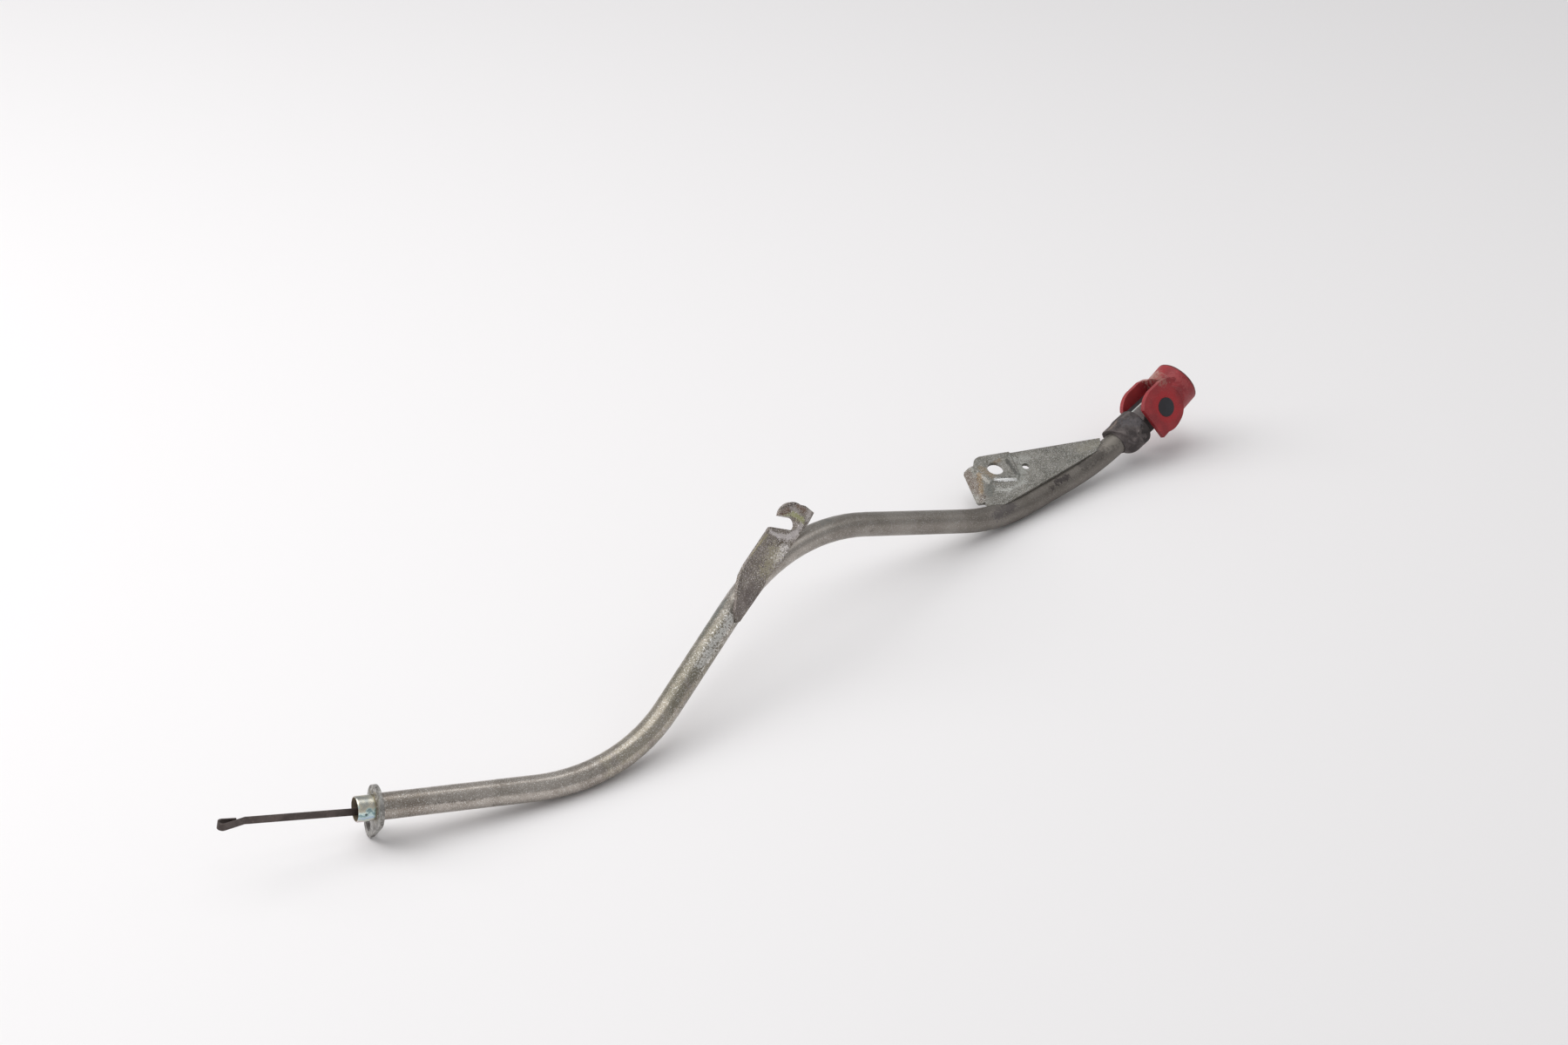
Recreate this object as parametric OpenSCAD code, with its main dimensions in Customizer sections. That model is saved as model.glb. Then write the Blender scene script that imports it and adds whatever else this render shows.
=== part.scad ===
// Engine oil dipstick in its bent guide tube, with a fork lever on the rubber cap.
// Lengths are in millimetres and angles in degrees.
// The part lies on the plane z = 0 as it comes to rest, with +X along its length.

/* [Guide tube] */
// Outside diameter of the tube
tube_d = 12.7; // [11:0.1:14]
// Wall of the tube
tube_wall = 0.8; // [0.6:0.05:1.2]
// Outside diameter of the spigot, ground to size
spigot_d = 12.3; // [11:0.1:14]
// Length of the spigot that stands out in front of the flange
spigot_length = 9; // [6:0.5:14]
// Chamfer round the tip of the spigot
spigot_chamfer = 0.4; // [0.1:0.05:0.5]

/* [Route of the tube] */
// Straight run from the flange to the first bend
lower_run = 78.8; // [60:0.1:110]
// Straight run that climbs to the arch
climb_run = 65.7; // [50:0.1:90]
// Straight run from the arch down to the third bend
falling_run = 75.1; // [60:0.1:100]
// Straight run that lies on the ground
ground_run = 32.6; // [20:0.1:50]
// Length of tube held inside the rubber cap
cap_run = 17; // [14:0.5:22]
// Radius of the first bend, to the middle of the tube
bend_1_radius = 102; // [60:1:130]
// Radius of the arch
bend_2_radius = 134; // [110:1:160]
// Radius of the third bend
bend_3_radius = 108; // [60:1:130]
// Radius of the last bend
bend_4_radius = 158; // [120:1:200]
// Angle of the first bend
bend_1_angle = 46.4; // [40:0.1:52]
// Angle of the arch
bend_2_angle = 45.2; // [40:0.1:50]
// Angle of the third bend
bend_3_angle = 24.1; // [20:0.1:28]
// Angle of the last bend
bend_4_angle = 13.3; // [10:0.1:16]
// Direction of the first bend, turned about the tube from straight up
bend_1_turn = -51.5; // [-60:0.5:-40]
// Direction of the arch
bend_2_turn = 155.4; // [145:0.1:165]
// Direction of the third bend
bend_3_turn = -4.4; // [-15:0.1:5]
// Direction of the last bend
bend_4_turn = -5; // [-15:0.1:5]

/* [Mounting flange] */
// Thickness of the flange plate
flange_thickness = 2; // [1.5:0.25:5]
// Radius of the plate round the tube
flange_radius = 10.5; // [9:0.25:15]
// Distance from the tube to the bolt hole
bolt_offset = 14.3; // [12:0.1:20]
// Radius of the lobe round the bolt hole
lobe_radius = 6.4; // [5.5:0.1:9]
// Diameter of the bolt hole
bolt_hole_d = 6.6; // [5.5:0.1:8.5]
// Direction of the lobe, turned about the tube from straight up
lobe_turn = 203.5; // [180:0.5:240]
// Length of the hub behind the plate
hub_length = 1.2; // [1:0.1:8]
// Wall of the hub
hub_wall = 0.8; // [0.6:0.1:3]

/* [Hook bracket] */
// Thickness of the sheet
hook_sheet = 2; // [1.5:0.1:3]
// Width of the open slot
hook_slot_width = 6.8; // [5:0.1:8]
// Direction in which the slot opens
hook_slot_turn = -59; // [-70:1:-50]
// Outside radius of the hook round the end of the slot
hook_radius = 11; // [9:0.25:12]
// Reach of the hook arm along the slot
hook_reach = 10; // [7:0.25:10.5]
// Wall of the pressed rim round the slot
hook_rim_wall = 1.2; // [0.8:0.1:1.5]
// Height of the pressed rim
hook_rim_height = 2.5; // [1:0.25:4]

/* [Support bracket] */
// Thickness of the sheet
support_sheet = 2; // [1.5:0.1:3]
// Diameter of the bolt hole
support_hole_d = 9; // [8:0.1:11]
// Diameter of the locating hole
locating_hole_d = 4.4; // [3:0.1:6]
// Direction in which the sheet faces, turned about the tube
support_turn = 17.9; // [10:0.1:25]
// Height of the pressed pad round the bolt hole
pad_height = 1.2; // [0.6:0.1:1.8]
// Slope of the sides of the pad
pad_slope = 45; // [35:1:55]
// Width of the return edge
return_width = 5; // [3:0.25:7]
// Angle through which the return edge is bent down
return_angle = 45; // [30:1:60]
// Inside radius of the return edge
return_radius = 0.6; // [0.3:0.1:1.5]
// Radius of the corner above the bolt hole
support_corner = 6; // [5:0.5:11]

/* [Dipstick blade] */
// Width of the strip
blade_width = 3.6; // [3:0.1:4.2]
// Thickness of the strip
blade_thickness = 0.9; // [0.6:0.05:1]
// Distance from the middle of the bore down to the middle of the strip
blade_drop = 2.75; // [1.5:0.05:3]
// Distance from the middle of the bore sideways to the middle of the strip
blade_side = 2; // [0:0.1:2.2]
// Length of strip in front of the spigot, to the end of its loop
blade_reach = 65; // [40:0.1:90]
// Angle by which the strip lifts in front of the spigot
blade_lift = 3.7; // [0:0.1:7]
// Angle by which the strip swings sideways in front of the spigot
blade_swing = 1.5; // [0:0.1:7]
// Length of the loop at the tip
loop_length = 13.4; // [11:0.1:16]
// Radius of the round end of the loop, to the middle of the strip
loop_radius = 1.95; // [1.5:0.05:2.5]

/* [Rubber cap] */
// Outside diameter of the cap
cap_d = 20.9; // [19:0.1:24]
// Offset of the cap from the tube, to the lower side
cap_shift = 0.85; // [0:0.05:1.2]
// Length of the cap
cap_length = 17.8; // [16:0.1:24]
// Thickness of the top of the cap
cap_top = 1.9; // [1.2:0.1:3]
// Radius of the rounded edges of the cap
cap_round = 1; // [0.4:0.1:1.5]
// Radius of the shoulder that runs down to the tube
cap_shoulder = 7.2; // [6:0.1:8]
// Length of the neck below the shoulder
neck_length = 2.3; // [1.5:0.1:3]
// Diameter of the neck at its end
neck_d = 13.8; // [13.4:0.1:15]
// Outside diameter of the lip over the mouth
lip_d = 19.8; // [18:0.1:20.4]
// Diameter of the mouth under the lip
lip_bore_d = 16.8; // [15:0.1:18]
// Length by which the lip reaches past the end of the neck
lip_length = 1; // [0:0.1:2]
// Slope at which the lip runs back into the shoulder
lip_slope = 24; // [15:1:35]
// Direction of the lip, turned about the tube from the lower side
lip_turn = 165; // [140:1:190]

/* [Lever] */
// Distance from the pin to the top of the cap
pin_height = 15.5; // [15.4:0.1:18]
// Width of the fork over its ears
fork_width = 22.4; // [20:0.2:24]
// Thickness of one ear
ear_thickness = 3; // [2:0.1:3.4]
// Distance from the pin to the flat that faces the cap
ear_flat = 12.55; // [11.5:0.05:12.8]
// Distance from the pin to the flat on the lower side
ear_side = 11.2; // [10:0.1:11.8]
// Radius of the ears round the pin
ear_radius = 12.1; // [11.8:0.1:12.2]
// Radius of the cam side of the ears
cam_radius = 13.1; // [12.8:0.05:13.2]
// Offset of the cam side from the pin, towards the cap
cam_offset = 2.1; // [1.8:0.05:2.3]
// Offset of the cam side from the pin, to the upper side
cam_lift = 0.6; // [0:0.1:1]
// Amount by which the lever stands open
lever_open = 6; // [0:0.5:12]
// Depth of the fork beyond the pin
fork_depth = 9.5; // [8.8:0.1:11]
// Diameter of the barrel
barrel_d = 25.7; // [23:0.1:26]
// Distance from the pin to the end of the barrel
barrel_reach = 22; // [18:0.2:30]
// Wall of the barrel round its hollow end
barrel_wall = 2.4; // [1.5:0.1:3]
// Floor between the fork and the hollow end
barrel_floor = 3; // [2:0.25:4]
// Chamfer round the open end of the barrel
barrel_chamfer = 0.5; // [0.2:0.1:0.8]

/* [Pin, strap and spacer] */
// Diameter of the pivot pin
pin_d = 10.5; // [8:0.1:11]
// Gap between the pin and the ears, on the radius
pin_running_gap = 0.08; // [0.03:0.01:0.1]
// Gap between the pin and the pieces that hold it, on the radius
pin_seat_gap = 0.02; // [0.01:0.01:0.05]
// Amount by which each end of the pin stands out of the ears
pin_proud = 0.15; // [0:0.05:0.5]
// Width of the pull strap and the spacer
strap_width = 16; // [14:0.2:17]
// Thickness of the pull strap
strap_thickness = 1.6; // [1:0.1:2.4]
// Thickness of the spacer behind the strap
spacer_thickness = 5.2; // [4:0.1:6]
// Distance from the middle of the cap to the back of the strap
strap_offset = 1.5; // [1:0.1:2]

/* [Stopper] */
// Gap between the rubber plug and the bore
plug_gap = 0.25; // [0.15:0.05:0.4]
// Gap between the foot of the draw rod and the bore
foot_gap = 0.3; // [0.15:0.05:0.5]
// Thickness of the washer over the plug
washer_thickness = 1; // [0.6:0.1:1.5]
// Diameter of the draw rod
draw_rod_d = 2.8; // [2:0.1:3]
// Thickness of the foot of the draw rod
foot_thickness = 2; // [1:0.25:3]
// Distance from the mouth of the cap to the foot
foot_height = 1; // [0.5:0.25:2]
// Length of draw rod held in the spacer
rod_grip = 4.5; // [3:0.25:6]

/* [Fits] */
// Gap of a brazed joint
braze_gap = 0.05; // [0.02:0.01:0.1]
// Gap between rubber and the piece that it grips
grip_gap = 0.05; // [0.02:0.01:0.15]
// Depth to which a bracket is coined on to the tube
bracket_seat = 0.5; // [0.3:0.05:0.9]
// Amount by which bending draws the surface in
bend_draw = 0.02; // [0.01:0.005:0.04]

/* [Resting place] */
// Tip of the spigot along X
rest_x = -251.48; // [-280:0.01:-230]
// Tip of the spigot along Y
rest_y = 6.2; // [-40:0.01:40]
// Tip of the spigot above the ground
rest_z = 20.96; // [18:0.01:28]
// Heading of the lower run
rest_heading = -19.17; // [-25:0.01:-10]
// Slope of the lower run
rest_slope = -8.42; // [-12:0.01:-6]
// Roll of the whole part about the lower run
rest_roll = -0.47; // [-5:0.01:5]

/* [Hidden] */
$fn = 96;
eps = 0.01;

tube_r = tube_d / 2;
spigot_r = spigot_d / 2;
bore_r = tube_r - tube_wall;
leg = [spigot_length + lower_run, climb_run, falling_run, ground_run, cap_run];
last_leg = len(leg) - 1;
bend_lap = 0.1;
bend_radius = [bend_1_radius, bend_2_radius, bend_3_radius, bend_4_radius];
bend_angle = [bend_1_angle, bend_2_angle, bend_3_angle, bend_4_angle];
bend_turn = [bend_1_turn, bend_2_turn, bend_3_turn, bend_4_turn];

cap_r = cap_d / 2;
neck_base = cap_run + cap_top - cap_length;
cap_face = cap_run + cap_top;
pin_z = cap_face + pin_height;
cap_turn = 154.8;
plug_base = foot_height + foot_thickness;
plug_top = cap_run - washer_thickness;
foot_r = bore_r - foot_gap;
barrel_r = barrel_d / 2;
pin_r = pin_d / 2;
fork_gap = fork_width - 2 * ear_thickness;

// Outline of the hook bracket, from the crown of the arch: [outwards, along the tube]
hook_corner = [17.4, -16.7];
hook_tail = [[8, -40], [4.7, -45.8], [1.8, -48.7], [-5, -53.3], [-10, -57], [-15.3, -58.2]];
hook_inner = [[-15.6, -56.5], [-8, -36.2], [-4.4, -29.7], [-1.1, -18], [2.8, -8.7], [7.2, 3]];
hook_heel = [[8.4, 7.7], [11.8, 14.2], [17.3, 10.3], [21.3, 4.4]];
hook_slot_end = [12.5, -1.2];

// Outline of the lever's cheek, from the cam side into the barrel: [up the barrel, to the lower side]
cheek = [[7, -13], [12, -11.1], [15.5, -8.5], [15.5, 0]];

// Outline of the support bracket: [along the tube, outwards]
support_near = 1.2;
support_near_left = -25;
support_near_right = 57.6;
support_tip = [62.7, 7.5];
support_top = [-8.3, 36.5];
support_bend_near = [-25, 8.4];
support_hole = [-3.3, 23.1];
locating_hole = [12.9, 15.5];
pad_outline = [[12.9, 27.9], [5.4, 12], [1.6, 9.8], [-13.7, 17], [-14.3, 31.5]];
pad_run_out = 60;
return_lap = 0.1;
return_lap_angle = 5;

function unit(v) = v / norm(v);
function polar(r, a) = [r * cos(a), r * sin(a)];

// The frame at the tip of the spigot: Z runs up the tube and X points away from the ground
module at_spigot()
    translate([rest_x, rest_y, rest_z])
        rotate([0, 90 - rest_slope, rest_heading])
            rotate([0, 0, 180 + rest_roll])
                children();

// Carries its children past bend i
module past_bend(i)
    rotate([0, 0, bend_turn[i]])
        translate([bend_radius[i] * (1 - cos(bend_angle[i])), 0, bend_radius[i] * sin(bend_angle[i])])
            rotate([0, bend_angle[i], 0])
                rotate([0, 0, -bend_turn[i]])
                    children();

// The frame at the start of straight leg i
module at_leg(i)
    if (i == 0) {
        at_spigot() children();
    } else {
        at_leg(i - 1) translate([0, 0, leg[i - 1]]) past_bend(i - 1) children();
    }

// The frame at the centre of bend i: X is radial at its start, and the bend turns about Z
module at_bend_centre(i)
    at_leg(i)
        translate([0, 0, leg[i]])
            rotate([0, 0, bend_turn[i]])
                translate([bend_radius[i], 0, 0])
                    rotate([90, 0, 180])
                        children();

// Sweeps a flat profile along the whole route, to the given length in the cap.
// The profile draws itself in by $draw, which is 0 on the straight legs, and each leg laps a
// little into the bends beside it, so that the pieces of the sweep are one solid.
module along_route(cap_part = cap_run) {
    for (i = [0 : last_leg]) {
        $draw = 0;
        from = i == 0 ? 0 : -bend_lap;
        to = i == last_leg ? cap_part : leg[i] + bend_lap;
        at_leg(i)
            translate([0, 0, from])
                linear_extrude(to - from)
                    children();
    }
    for (i = [0 : last_leg - 1]) {
        $draw = bend_draw;
        at_bend_centre(i)
            rotate_extrude(angle = bend_angle[i])
                translate([bend_radius[i], 0])
                    mirror([1, 0])
                        rotate(-bend_turn[i])
                            children();
    }
}

// The space that the tube fills, with a gap for a brazed joint
module tube_space()
    along_route() circle(tube_r + braze_gap - $draw);

// The frame at the pivot pin: X to the lower side of the cap, Y along the pin, Z away from the cap
module at_pin()
    at_leg(last_leg)
        translate([0, 0, pin_z])
            rotate([0, 0, cap_turn])
                children();

// Turns a flat outline to face along the pin: [up the barrel, to the lower side]
module facing_pin()
    rotate([-90, 0, 0]) rotate([0, 0, -90]) children();

// A straight piece of strip from point a to point b
module strand(a, b, thickness)
    translate(a)
        rotate(atan2(b.y - a.y, b.x - a.x))
            translate([0, -thickness / 2])
                square([norm(b - a), thickness]);

module guide_tube()
    color("slategray")
        difference() {
            along_route()
                difference() {
                    circle(tube_r - $draw);
                    circle(bore_r + $draw);
                }
            at_leg(0)
                rotate_extrude()
                    polygon([[spigot_r - spigot_chamfer, 0], [spigot_r, spigot_chamfer],
                             [spigot_r, spigot_length], [tube_r + 1, spigot_length],
                             [tube_r + 1, -1], [spigot_r - spigot_chamfer - 1, -1]]);
        }

module mounting_flange() {
    // The straight edges run tangent to both rounds
    lean = acos((flange_radius - lobe_radius) / bolt_offset);
    hub_r = tube_r + hub_wall;
    color("darkgray")
        at_leg(0)
            translate([0, 0, spigot_length])
                rotate([0, 0, lobe_turn])
                    difference() {
                        union() {
                            linear_extrude(flange_thickness) {
                                circle(flange_radius);
                                translate([bolt_offset, 0]) circle(lobe_radius);
                                polygon([polar(flange_radius, lean),
                                         polar(flange_radius, -lean),
                                         polar(lobe_radius, -lean) + [bolt_offset, 0],
                                         polar(lobe_radius, lean) + [bolt_offset, 0]]);
                            }
                            // The hub stands on a fillet and ends in a chamfer
                            translate([0, 0, flange_thickness])
                                rotate_extrude()
                                    polygon([[0, -flange_thickness / 2],
                                             [hub_r, -flange_thickness / 2],
                                             [hub_r + hub_wall / 2, 0],
                                             [hub_r, hub_wall / 2],
                                             [hub_r, hub_length - hub_wall / 2],
                                             [hub_r - hub_wall / 2, hub_length],
                                             [0, hub_length]]);
                        }
                        translate([0, 0, -1])
                            cylinder(r = tube_r + braze_gap, h = flange_thickness + hub_length + 2);
                        translate([bolt_offset, 0, -1])
                            cylinder(d = bolt_hole_d, h = flange_thickness + 2);
                    }
}

// The open slot of the hook, grown by a margin
module hook_slot(margin = 0) {
    r = hook_slot_width / 2 + margin;
    translate(hook_slot_end)
        rotate(hook_slot_turn) {
            circle(r);
            translate([0, -r]) square([2 * hook_radius, 2 * r]);
        }
}

module hook_bracket() {
    back = -(tube_r - bracket_seat);
    color("rosybrown")
        difference() {
            at_bend_centre(1)
                rotate([0, 0, bend_angle[1] / 2])
                    translate([bend_radius[1], 0, 0]) {
                        translate([0, 0, back - hook_sheet])
                            linear_extrude(hook_sheet)
                                difference() {
                                    union() {
                                        polygon(concat([hook_corner], hook_tail, hook_inner, hook_heel));
                                        intersection() {
                                            translate(hook_slot_end) circle(hook_radius);
                                            translate(hook_slot_end)
                                                rotate(hook_slot_turn)
                                                    translate([-hook_radius / 3, 0])
                                                        square([hook_reach + hook_radius / 3, hook_radius]);
                                        }
                                    }
                                    hook_slot();
                                }
                        translate([0, 0, back])
                            linear_extrude(hook_rim_height)
                                difference() {
                                    intersection() {
                                        hook_slot(hook_rim_wall);
                                        translate(hook_slot_end) circle(hook_reach - hook_rim_wall);
                                    }
                                    hook_slot();
                                }
                    }
            tube_space();
        }
}

// Everything on the inner side of a sloped plane that meets height foot along the edge a to b
module inside_slope(a, b, foot)
    translate([a.x, a.y, foot])
        rotate([0, 0, atan2(b.y - a.y, b.x - a.x)])
            rotate([pad_slope - 90, 0, 0])
                translate([-pad_run_out, 0, -pad_run_out])
                    cube([3 * pad_run_out, 2 * pad_run_out, 2 * pad_run_out]);

// The volume inside the sloped sides of the pad; its far edge runs off the sheet
module pad_volume(foot)
    intersection_for (i = [0 : len(pad_outline) - 2])
        inside_slope(pad_outline[i + 1], pad_outline[i], foot);

// The sheet's flat outline, with one round corner above the bolt hole
module support_outline() {
    top_run = unit(support_tip - support_top);
    side_run = unit(support_bend_near - support_top);
    half = acos(top_run * side_run) / 2;
    tangent = support_corner / tan(half);
    centre = support_top + unit(top_run + side_run) * support_corner / sin(half);
    polygon([[support_near_left, support_near], [support_near_right, support_near], support_tip,
             support_top + top_run * tangent, support_top + side_run * tangent, support_bend_near]);
    translate(centre) circle(support_corner);
}

module return_edge() {
    run = support_top - support_bend_near;
    side_run = unit(support_bend_near - support_top);
    top_run = unit(support_tip - support_top);
    corner_start = norm(run) - support_corner / tan(acos(top_run * side_run) / 2);
    translate(support_bend_near)
        rotate([0, 0, atan2(run.y, run.x)]) {
            translate([corner_start, 0, -return_radius])
                rotate([return_lap_angle, 0, 0])
                    rotate([0, -90, 0])
                        rotate_extrude(angle = return_angle + return_lap_angle)
                            translate([return_radius + bend_draw, 0])
                                square([support_sheet - 2 * bend_draw, corner_start - return_lap]);
            translate([0, 0, -return_radius])
                rotate([-return_angle, 0, 0])
                    translate([0, 0, return_radius + 2 * bend_draw])
                        linear_extrude(support_sheet - 4 * bend_draw)
                            polygon([[2 * return_lap, -return_lap],
                                     [return_width * 0.4, return_width * 0.62],
                                     [corner_start - return_width / 2, return_width],
                                     [corner_start + return_width / 8, return_width * 0.75],
                                     [corner_start + return_width / 4, return_width * 0.4],
                                     [corner_start - 2 * return_lap, -return_lap]]);
        }
}

module support_bracket()
    color("darkseagreen")
        difference() {
            at_leg(3)
                rotate([0, 0, support_turn])
                    translate([tube_r - bracket_seat, 0, 0])
                        rotate([180, -90, 0])
                            difference() {
                                union() {
                                    linear_extrude(support_sheet) support_outline();
                                    return_edge();
                                    intersection() {
                                        translate([0, 0, support_sheet / 2])
                                            linear_extrude(support_sheet / 2 + pad_height)
                                                support_outline();
                                        pad_volume(support_sheet);
                                    }
                                }
                                // The hollow behind the pad follows it at the thickness of the sheet
                                intersection() {
                                    pad_volume(support_sheet - support_sheet / sin(90 - pad_slope));
                                    translate([-pad_run_out, -pad_run_out, pad_height - pad_run_out])
                                        cube([2 * pad_run_out, 2 * pad_run_out, pad_run_out]);
                                }
                                translate([support_hole.x, support_hole.y, -pad_run_out / 2])
                                    cylinder(d = support_hole_d, h = pad_run_out);
                                translate([locating_hole.x, locating_hole.y, -pad_run_out / 2])
                                    cylinder(d = locating_hole_d, h = pad_run_out);
                            }
            tube_space();
        }

// The strip in front of the spigot, seen edge on: [towards the tip, to the side]
module blade_plan() {
    thickness = blade_thickness - 2 * bend_draw;
    kink = [blade_reach - loop_length, 0];
    centre = [blade_reach - loop_radius - blade_thickness / 2, loop_radius];
    reach = norm(centre - kink);
    aim = atan2(centre.y - kink.y, centre.x - kink.x);
    spread = asin(loop_radius / reach);
    side = sqrt(reach * reach - loop_radius * loop_radius);
    front = kink + polar(side, aim + spread);
    // The rolled end comes back to the strip a third of the way along the loop
    meet = kink + [side * 0.38, side * 0.1 - thickness];
    back_reach = norm(centre - meet);
    back_aim = atan2(centre.y - meet.y, centre.x - meet.x);
    back_spread = asin(loop_radius / back_reach);
    back = meet + polar(sqrt(back_reach * back_reach - loop_radius * loop_radius), back_aim - back_spread);
    strand([-1, 0], kink, thickness);
    translate(kink) circle(thickness / 2);
    strand(kink, front + 0.1 * unit(front - kink), thickness);
    strand(meet, back + 0.1 * unit(back - meet), thickness);
    difference() {
        translate(centre) circle(loop_radius + thickness / 2 - bend_draw);
        translate(centre) circle(loop_radius - thickness / 2 + bend_draw);
        polygon([centre, centre + 2 * (front - centre), kink, centre + 2 * (back - centre)]);
    }
}

module dipstick_blade() {
    color("dimgray") {
        along_route(foot_height)
            translate([-blade_drop, -blade_side])
                square([blade_width - 2 * $draw, blade_thickness - 2 * $draw], center = true);
        at_leg(0)
            translate([-blade_drop, -blade_side, 0])
                rotate([blade_swing, -blade_lift, 0])
                    rotate([0, 90, 0])
                        linear_extrude(blade_width - 2 * bend_draw, center = true)
                            blade_plan();
    }
}

module rubber_cap() {
    shoulder_z = neck_base + neck_length;
    body_z = shoulder_z + sqrt(pow(cap_shoulder, 2) - pow(cap_shoulder + neck_d / 2 - cap_r, 2));
    lip_base = neck_base - lip_length;
    color("#3a3636")
        at_leg(last_leg)
            rotate([0, 0, cap_turn])
                difference() {
                    union() {
                        translate([cap_shift, 0, body_z])
                            rotate_extrude() {
                                square([cap_r, cap_face - body_z - cap_round]);
                                square([cap_r - cap_round, cap_face - body_z]);
                                translate([cap_r - cap_round, cap_face - body_z - cap_round])
                                    circle(cap_round);
                                intersection() {
                                    translate([cap_r - cap_shoulder, 0]) circle(cap_shoulder);
                                    translate([0, -cap_shoulder]) square([cap_r, cap_shoulder + eps]);
                                }
                                translate([0, -cap_shoulder])
                                    square([cap_r - cap_shoulder, cap_shoulder + eps]);
                            }
                        // The neck that grips the tube
                        translate([0, 0, neck_base])
                            cylinder(d1 = neck_d, d2 = neck_d + neck_length, h = 2 * neck_length);
                        // The lip stands lowest on one side and runs back into the shoulder
                        translate([cap_shift, 0, 0])
                            rotate([0, 0, lip_turn])
                                difference() {
                                    translate([0, 0, lip_base])
                                        rotate_extrude()
                                            translate([lip_bore_d / 2, 0])
                                                square([(lip_d - lip_bore_d) / 2, body_z - lip_base]);
                                    translate([lip_d / 2, 0, lip_base])
                                        rotate([0, lip_slope, 0])
                                            translate([-2 * lip_d, -lip_d, -lip_d])
                                                cube([3 * lip_d, 2 * lip_d, lip_d]);
                                }
                    }
                    translate([0, 0, lip_base - 1])
                        cylinder(r = tube_r + grip_gap, h = cap_run - lip_base + 1);
                    translate([0, 0, lip_base])
                        cylinder(r = draw_rod_d / 2 + grip_gap, h = 2 * cap_length);
                }
}

module stopper_plug()
    color("#2b2b2b")
        at_leg(last_leg)
            translate([0, 0, plug_base])
                difference() {
                    cylinder(r = bore_r - plug_gap, h = plug_top - plug_base);
                    translate([0, 0, -1])
                        cylinder(r = draw_rod_d / 2 + grip_gap, h = plug_top - plug_base + 2);
                }

module stopper_washer()
    color("silver")
        at_leg(last_leg)
            translate([0, 0, plug_top])
                difference() {
                    cylinder(r = foot_r, h = washer_thickness);
                    translate([0, 0, -1])
                        cylinder(r = draw_rod_d / 2 + grip_gap, h = washer_thickness + 2);
                }

module draw_rod()
    color("silver")
        at_leg(last_leg) {
            translate([0, 0, foot_height]) cylinder(r = foot_r, h = foot_thickness);
            translate([0, 0, foot_height + foot_thickness / 2])
                cylinder(d = draw_rod_d, h = cap_face + rod_grip - foot_height - foot_thickness / 2);
        }

// The outline that the strap and the spacer share, from the top of the cap to over the pin
module strap_outline()
    difference() {
        union() {
            translate([-pin_height, -strap_width / 2]) square([pin_height, strap_width]);
            circle(d = strap_width);
        }
        circle(pin_r + pin_seat_gap);
    }

module pull_strap()
    color("gainsboro")
        at_pin()
            translate([0, -strap_offset - strap_thickness, 0])
                facing_pin()
                    linear_extrude(strap_thickness)
                        strap_outline();

module strap_spacer()
    color("#1c1c1e")
        at_pin()
            difference() {
                translate([0, -strap_offset, 0])
                    facing_pin()
                        linear_extrude(spacer_thickness)
                            strap_outline();
                translate([0, 0, -pin_height - 1])
                    cylinder(r = draw_rod_d / 2 + grip_gap, h = rod_grip + 1 + grip_gap);
            }

module pivot_pin()
    color("#202024")
        at_pin()
            facing_pin()
                translate([0, 0, -fork_width / 2 - pin_proud])
                    cylinder(r = pin_r, h = fork_width + 2 * pin_proud);

// The outline of one ear: [up the barrel, to the lower side]
module ear_outline() {
    circle(ear_radius);
    intersection() {
        translate([-cam_offset, -cam_lift]) circle(cam_radius);
        translate([-ear_flat, -2 * cam_radius]) square([3 * cam_radius, 3 * cam_radius]);
    }
    translate([-ear_flat, 0]) square([ear_flat, ear_side]);
    // The cheek that runs from the cam side into the barrel
    polygon(concat([[-cam_offset, 0], [-cam_offset, -cam_lift - cam_radius + eps]], cheek));
}

module fork_lever() {
    hollow_r = barrel_r - barrel_wall;
    face_step = barrel_r - fork_width / 2 + 1;
    color("firebrick")
        at_pin()
            rotate([0, -lever_open, 0])
                difference() {
                    union() {
                        facing_pin() linear_extrude(fork_width, center = true) ear_outline();
                        cylinder(r = barrel_r, h = barrel_reach - barrel_chamfer);
                        cylinder(r = barrel_r - barrel_chamfer, h = barrel_reach);
                    }
                    // The fork between the ears
                    translate([-2 * cam_radius, -fork_gap / 2, -3 * cam_radius])
                        cube([4 * cam_radius, fork_gap, 3 * cam_radius + fork_depth]);
                    // The flat outer faces of the ears, sunk into the barrel
                    for (side = [0, 180])
                        rotate([0, 0, side])
                            translate([0, fork_width / 2, 0])
                                rotate([-90, 0, 0])
                                    cylinder(r1 = ear_radius, r2 = ear_radius + face_step, h = face_step);
                    facing_pin()
                        translate([0, 0, -fork_width])
                            cylinder(r = pin_r + pin_running_gap, h = 2 * fork_width);
                    // The hollow end of the barrel
                    translate([0, 0, fork_depth + barrel_floor])
                        cylinder(r = hollow_r, h = barrel_reach);
                }
}

guide_tube();
mounting_flange();
hook_bracket();
support_bracket();
dipstick_blade();
rubber_cap();
stopper_plug();
stopper_washer();
draw_rod();
pull_strap();
strap_spacer();
pivot_pin();
fork_lever();
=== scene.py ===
"""Engine oil dipstick in its bent guide tube: the looks, dressed over the CAD pieces."""

from __future__ import annotations

import logging
import math
from dataclasses import dataclass
from enum import Enum

import bmesh
import bpy
from mathutils import Matrix, Vector


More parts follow.
